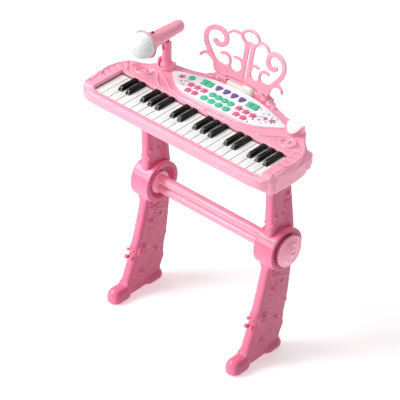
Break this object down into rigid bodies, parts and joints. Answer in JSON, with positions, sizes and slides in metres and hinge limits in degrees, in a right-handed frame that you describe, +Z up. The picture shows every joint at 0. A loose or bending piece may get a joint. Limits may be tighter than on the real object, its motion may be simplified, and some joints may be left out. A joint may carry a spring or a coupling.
{
  "type": "toy electronic keyboard",
  "caption": "Toy electronic keyboard on a two-legged stand, with a domed button panel, a scrollwork music rest and a microphone on a swivelling post.",
  "frame": {"origin": "middle of the object's footprint box, on the floor between the feet", "axes": "+Z up, +X to the player's right, +Y away from the player"},
  "size_m": [0.454, 0.227, 0.5656],
  "materials": {
    "pink_casing": "satin, light pink moulded ABS",
    "pink_stand": "satin, stronger pink moulded plastic",
    "white_key": "glossy white",
    "black_key": "glossy black",
    "white_panel": "satin white with printed flowers and notes",
    "green_button": "soft turquoise green",
    "purple_button": "soft violet",
    "rose_button": "soft rose",
    "lens": "milky white translucent",
    "grille": "white with a fine facet pattern",
    "dark_trim": "dark grey",
    "circuit_board": "green laminate",
    "speaker": "black cone in a steel basket",
    "steel": "zinc plated"
  },
  "bodies": {
    "stand_and_casing": {"upper_casing": "pink_casing", "lower_casing": "pink_casing", "control_panel": "white_panel", "lamp_lenses": "lens", "upper_legs": "pink_stand", "lower_legs": "pink_stand", "crossbar": "pink_stand", "leg_caps": "pink_casing", "circuit_board": "circuit_board", "speaker": "speaker", "battery_door": "pink_casing", "screws": "steel"},
    "music_rest": {"music_rest": "pink_casing"},
    "microphone_post": {"microphone_post": "pink_stand"},
    "microphone": {"microphone_body": "pink_casing", "microphone_grille": "grille"},
    "microphone_switch": {"microphone_switch": "dark_trim"},
    "volume_rocker": {"volume_rocker": "green_button"},
    "tempo_rocker": {"tempo_rocker": "green_button"},
    "power_button": {"power_button": "green_button"},
    "mode_buttons": {"mode_buttons": "purple_button"},
    "rhythm_buttons": {"rhythm_buttons": "green_button"},
    "sound_buttons": {"sound_buttons": "rose_button"},
    "white_key_01": {"white_key_01": "white_key"},
    "white_key_02": {"white_key_02": "white_key"},
    "white_key_03": {"white_key_03": "white_key"},
    "white_key_04": {"white_key_04": "white_key"},
    "white_key_05": {"white_key_05": "white_key"},
    "white_key_06": {"white_key_06": "white_key"},
    "white_key_07": {"white_key_07": "white_key"},
    "white_key_08": {"white_key_08": "white_key"},
    "white_key_09": {"white_key_09": "white_key"},
    "white_key_10": {"white_key_10": "white_key"},
    "white_key_11": {"white_key_11": "white_key"},
    "white_key_12": {"white_key_12": "white_key"},
    "white_key_13": {"white_key_13": "white_key"},
    "white_key_14": {"white_key_14": "white_key"},
    "white_key_15": {"white_key_15": "white_key"},
    "white_key_16": {"white_key_16": "white_key"},
    "white_key_17": {"white_key_17": "white_key"},
    "white_key_18": {"white_key_18": "white_key"},
    "white_key_19": {"white_key_19": "white_key"},
    "white_key_20": {"white_key_20": "white_key"},
    "white_key_21": {"white_key_21": "white_key"},
    "white_key_22": {"white_key_22": "white_key"},
    "black_key_01": {"black_key_01": "black_key"},
    "black_key_02": {"black_key_02": "black_key"},
    "black_key_03": {"black_key_03": "black_key"},
    "black_key_04": {"black_key_04": "black_key"},
    "black_key_05": {"black_key_05": "black_key"},
    "black_key_06": {"black_key_06": "black_key"},
    "black_key_07": {"black_key_07": "black_key"},
    "black_key_08": {"black_key_08": "black_key"},
    "black_key_09": {"black_key_09": "black_key"},
    "black_key_10": {"black_key_10": "black_key"},
    "black_key_11": {"black_key_11": "black_key"},
    "black_key_12": {"black_key_12": "black_key"},
    "black_key_13": {"black_key_13": "black_key"},
    "black_key_14": {"black_key_14": "black_key"},
    "black_key_15": {"black_key_15": "black_key"}
  },
  "joints": [
    {"name": "music_rest_lift", "type": "slide", "parent": "stand_and_casing", "child": "music_rest", "axis": [0, 0, 1], "range_m": [0, 0.02]},
    {"name": "microphone_tilt", "type": "hinge", "parent": "microphone_post", "child": "microphone", "pos_m": [-0.1525, 0.0503, 0.5], "axis": [1, 0, 0], "range_deg": [-25, 30]},
    {"name": "microphone_swivel", "type": "hinge", "parent": "stand_and_casing", "child": "microphone_post", "pos_m": [-0.1525, 0.0503, 0.452], "axis": [0, 0, 1], "range_deg": [-60, 60]},
    {"name": "microphone_switch_slide", "type": "slide", "parent": "microphone", "child": "microphone_switch", "axis": [0, 1, 0], "range_m": [0, 0.003]},
    {"name": "volume_rocker_tilt", "type": "hinge", "parent": "stand_and_casing", "child": "volume_rocker", "pos_m": [-0.0532, 0.0513, 0.456], "axis": [0, 1, 0], "range_deg": [-4, 4], "stiffness_Nm_per_rad": 0.05},
    {"name": "tempo_rocker_tilt", "type": "hinge", "parent": "stand_and_casing", "child": "tempo_rocker", "pos_m": [0.0532, 0.0513, 0.456], "axis": [0, 1, 0], "range_deg": [-4, 4], "stiffness_Nm_per_rad": 0.05},
    {"name": "power_press", "type": "slide", "parent": "stand_and_casing", "child": "power_button", "axis": [0, 0, -1], "range_m": [0, 0.001], "stiffness_N_per_m": 400, "springref_m": -0.002},
    {"name": "mode_press", "type": "slide", "parent": "stand_and_casing", "child": "mode_buttons", "axis": [0, 0, -1], "range_m": [0, 0.001], "stiffness_N_per_m": 400, "springref_m": -0.002},
    {"name": "rhythm_press", "type": "slide", "parent": "stand_and_casing", "child": "rhythm_buttons", "axis": [0, 0, -1], "range_m": [0, 0.001], "stiffness_N_per_m": 400, "springref_m": -0.002},
    {"name": "sound_press", "type": "slide", "parent": "stand_and_casing", "child": "sound_buttons", "axis": [0, 0, -1], "range_m": [0, 0.001], "stiffness_N_per_m": 400, "springref_m": -0.002},
    {"name": "white_key_01_press", "type": "hinge", "parent": "stand_and_casing", "child": "white_key_01", "pos_m": [0, 0.0193, 0.4415], "axis": [1, 0, 0], "range_deg": [0, 2.2], "stiffness_Nm_per_rad": 0.3, "springref_deg": -5.73},
    {"name": "white_key_02_press", "type": "hinge", "parent": "stand_and_casing", "child": "white_key_02", "pos_m": [0, 0.0193, 0.4415], "axis": [1, 0, 0], "range_deg": [0, 2.2], "stiffness_Nm_per_rad": 0.3, "springref_deg": -5.73},
    {"name": "white_key_03_press", "type": "hinge", "parent": "stand_and_casing", "child": "white_key_03", "pos_m": [0, 0.0193, 0.4415], "axis": [1, 0, 0], "range_deg": [0, 2.2], "stiffness_Nm_per_rad": 0.3, "springref_deg": -5.73},
    {"name": "white_key_04_press", "type": "hinge", "parent": "stand_and_casing", "child": "white_key_04", "pos_m": [0, 0.0193, 0.4415], "axis": [1, 0, 0], "range_deg": [0, 2.2], "stiffness_Nm_per_rad": 0.3, "springref_deg": -5.73},
    {"name": "white_key_05_press", "type": "hinge", "parent": "stand_and_casing", "child": "white_key_05", "pos_m": [0, 0.0193, 0.4415], "axis": [1, 0, 0], "range_deg": [0, 2.2], "stiffness_Nm_per_rad": 0.3, "springref_deg": -5.73},
    {"name": "white_key_06_press", "type": "hinge", "parent": "stand_and_casing", "child": "white_key_06", "pos_m": [0, 0.0193, 0.4415], "axis": [1, 0, 0], "range_deg": [0, 2.2], "stiffness_Nm_per_rad": 0.3, "springref_deg": -5.73},
    {"name": "white_key_07_press", "type": "hinge", "parent": "stand_and_casing", "child": "white_key_07", "pos_m": [0, 0.0193, 0.4415], "axis": [1, 0, 0], "range_deg": [0, 2.2], "stiffness_Nm_per_rad": 0.3, "springref_deg": -5.73},
    {"name": "white_key_08_press", "type": "hinge", "parent": "stand_and_casing", "child": "white_key_08", "pos_m": [0, 0.0193, 0.4415], "axis": [1, 0, 0], "range_deg": [0, 2.2], "stiffness_Nm_per_rad": 0.3, "springref_deg": -5.73},
    {"name": "white_key_09_press", "type": "hinge", "parent": "stand_and_casing", "child": "white_key_09", "pos_m": [0, 0.0193, 0.4415], "axis": [1, 0, 0], "range_deg": [0, 2.2], "stiffness_Nm_per_rad": 0.3, "springref_deg": -5.73},
    {"name": "white_key_10_press", "type": "hinge", "parent": "stand_and_casing", "child": "white_key_10", "pos_m": [0, 0.0193, 0.4415], "axis": [1, 0, 0], "range_deg": [0, 2.2], "stiffness_Nm_per_rad": 0.3, "springref_deg": -5.73},
    {"name": "white_key_11_press", "type": "hinge", "parent": "stand_and_casing", "child": "white_key_11", "pos_m": [0, 0.0193, 0.4415], "axis": [1, 0, 0], "range_deg": [0, 2.2], "stiffness_Nm_per_rad": 0.3, "springref_deg": -5.73},
    {"name": "white_key_12_press", "type": "hinge", "parent": "stand_and_casing", "child": "white_key_12", "pos_m": [0, 0.0193, 0.4415], "axis": [1, 0, 0], "range_deg": [0, 2.2], "stiffness_Nm_per_rad": 0.3, "springref_deg": -5.73},
    {"name": "white_key_13_press", "type": "hinge", "parent": "stand_and_casing", "child": "white_key_13", "pos_m": [0, 0.0193, 0.4415], "axis": [1, 0, 0], "range_deg": [0, 2.2], "stiffness_Nm_per_rad": 0.3, "springref_deg": -5.73},
    {"name": "white_key_14_press", "type": "hinge", "parent": "stand_and_casing", "child": "white_key_14", "pos_m": [0, 0.0193, 0.4415], "axis": [1, 0, 0], "range_deg": [0, 2.2], "stiffness_Nm_per_rad": 0.3, "springref_deg": -5.73},
    {"name": "white_key_15_press", "type": "hinge", "parent": "stand_and_casing", "child": "white_key_15", "pos_m": [0, 0.0193, 0.4415], "axis": [1, 0, 0], "range_deg": [0, 2.2], "stiffness_Nm_per_rad": 0.3, "springref_deg": -5.73},
    {"name": "white_key_16_press", "type": "hinge", "parent": "stand_and_casing", "child": "white_key_16", "pos_m": [0, 0.0193, 0.4415], "axis": [1, 0, 0], "range_deg": [0, 2.2], "stiffness_Nm_per_rad": 0.3, "springref_deg": -5.73},
    {"name": "white_key_17_press", "type": "hinge", "parent": "stand_and_casing", "child": "white_key_17", "pos_m": [0, 0.0193, 0.4415], "axis": [1, 0, 0], "range_deg": [0, 2.2], "stiffness_Nm_per_rad": 0.3, "springref_deg": -5.73},
    {"name": "white_key_18_press", "type": "hinge", "parent": "stand_and_casing", "child": "white_key_18", "pos_m": [0, 0.0193, 0.4415], "axis": [1, 0, 0], "range_deg": [0, 2.2], "stiffness_Nm_per_rad": 0.3, "springref_deg": -5.73},
    {"name": "white_key_19_press", "type": "hinge", "parent": "stand_and_casing", "child": "white_key_19", "pos_m": [0, 0.0193, 0.4415], "axis": [1, 0, 0], "range_deg": [0, 2.2], "stiffness_Nm_per_rad": 0.3, "springref_deg": -5.73},
    {"name": "white_key_20_press", "type": "hinge", "parent": "stand_and_casing", "child": "white_key_20", "pos_m": [0, 0.0193, 0.4415], "axis": [1, 0, 0], "range_deg": [0, 2.2], "stiffness_Nm_per_rad": 0.3, "springref_deg": -5.73},
    {"name": "white_key_21_press", "type": "hinge", "parent": "stand_and_casing", "child": "white_key_21", "pos_m": [0, 0.0193, 0.4415], "axis": [1, 0, 0], "range_deg": [0, 2.2], "stiffness_Nm_per_rad": 0.3, "springref_deg": -5.73},
    {"name": "white_key_22_press", "type": "hinge", "parent": "stand_and_casing", "child": "white_key_22", "pos_m": [0, 0.0193, 0.4415], "axis": [1, 0, 0], "range_deg": [0, 2.2], "stiffness_Nm_per_rad": 0.3, "springref_deg": -5.73},
    {"name": "black_key_01_press", "type": "hinge", "parent": "stand_and_casing", "child": "black_key_01", "pos_m": [0, 0.0193, 0.4415], "axis": [1, 0, 0], "range_deg": [0, 2.5], "stiffness_Nm_per_rad": 0.3, "springref_deg": -5.73},
    {"name": "black_key_02_press", "type": "hinge", "parent": "stand_and_casing", "child": "black_key_02", "pos_m": [0, 0.0193, 0.4415], "axis": [1, 0, 0], "range_deg": [0, 2.5], "stiffness_Nm_per_rad": 0.3, "springref_deg": -5.73},
    {"name": "black_key_03_press", "type": "hinge", "parent": "stand_and_casing", "child": "black_key_03", "pos_m": [0, 0.0193, 0.4415], "axis": [1, 0, 0], "range_deg": [0, 2.5], "stiffness_Nm_per_rad": 0.3, "springref_deg": -5.73},
    {"name": "black_key_04_press", "type": "hinge", "parent": "stand_and_casing", "child": "black_key_04", "pos_m": [0, 0.0193, 0.4415], "axis": [1, 0, 0], "range_deg": [0, 2.5], "stiffness_Nm_per_rad": 0.3, "springref_deg": -5.73},
    {"name": "black_key_05_press", "type": "hinge", "parent": "stand_and_casing", "child": "black_key_05", "pos_m": [0, 0.0193, 0.4415], "axis": [1, 0, 0], "range_deg": [0, 2.5], "stiffness_Nm_per_rad": 0.3, "springref_deg": -5.73},
    {"name": "black_key_06_press", "type": "hinge", "parent": "stand_and_casing", "child": "black_key_06", "pos_m": [0, 0.0193, 0.4415], "axis": [1, 0, 0], "range_deg": [0, 2.5], "stiffness_Nm_per_rad": 0.3, "springref_deg": -5.73},
    {"name": "black_key_07_press", "type": "hinge", "parent": "stand_and_casing", "child": "black_key_07", "pos_m": [0, 0.0193, 0.4415], "axis": [1, 0, 0], "range_deg": [0, 2.5], "stiffness_Nm_per_rad": 0.3, "springref_deg": -5.73},
    {"name": "black_key_08_press", "type": "hinge", "parent": "stand_and_casing", "child": "black_key_08", "pos_m": [0, 0.0193, 0.4415], "axis": [1, 0, 0], "range_deg": [0, 2.5], "stiffness_Nm_per_rad": 0.3, "springref_deg": -5.73},
    {"name": "black_key_09_press", "type": "hinge", "parent": "stand_and_casing", "child": "black_key_09", "pos_m": [0, 0.0193, 0.4415], "axis": [1, 0, 0], "range_deg": [0, 2.5], "stiffness_Nm_per_rad": 0.3, "springref_deg": -5.73},
    {"name": "black_key_10_press", "type": "hinge", "parent": "stand_and_casing", "child": "black_key_10", "pos_m": [0, 0.0193, 0.4415], "axis": [1, 0, 0], "range_deg": [0, 2.5], "stiffness_Nm_per_rad": 0.3, "springref_deg": -5.73},
    {"name": "black_key_11_press", "type": "hinge", "parent": "stand_and_casing", "child": "black_key_11", "pos_m": [0, 0.0193, 0.4415], "axis": [1, 0, 0], "range_deg": [0, 2.5], "stiffness_Nm_per_rad": 0.3, "springref_deg": -5.73},
    {"name": "black_key_12_press", "type": "hinge", "parent": "stand_and_casing", "child": "black_key_12", "pos_m": [0, 0.0193, 0.4415], "axis": [1, 0, 0], "range_deg": [0, 2.5], "stiffness_Nm_per_rad": 0.3, "springref_deg": -5.73},
    {"name": "black_key_13_press", "type": "hinge", "parent": "stand_and_casing", "child": "black_key_13", "pos_m": [0, 0.0193, 0.4415], "axis": [1, 0, 0], "range_deg": [0, 2.5], "stiffness_Nm_per_rad": 0.3, "springref_deg": -5.73},
    {"name": "black_key_14_press", "type": "hinge", "parent": "stand_and_casing", "child": "black_key_14", "pos_m": [0, 0.0193, 0.4415], "axis": [1, 0, 0], "range_deg": [0, 2.5], "stiffness_Nm_per_rad": 0.3, "springref_deg": -5.73},
    {"name": "black_key_15_press", "type": "hinge", "parent": "stand_and_casing", "child": "black_key_15", "pos_m": [0, 0.0193, 0.4415], "axis": [1, 0, 0], "range_deg": [0, 2.5], "stiffness_Nm_per_rad": 0.3, "springref_deg": -5.73}
  ]
}
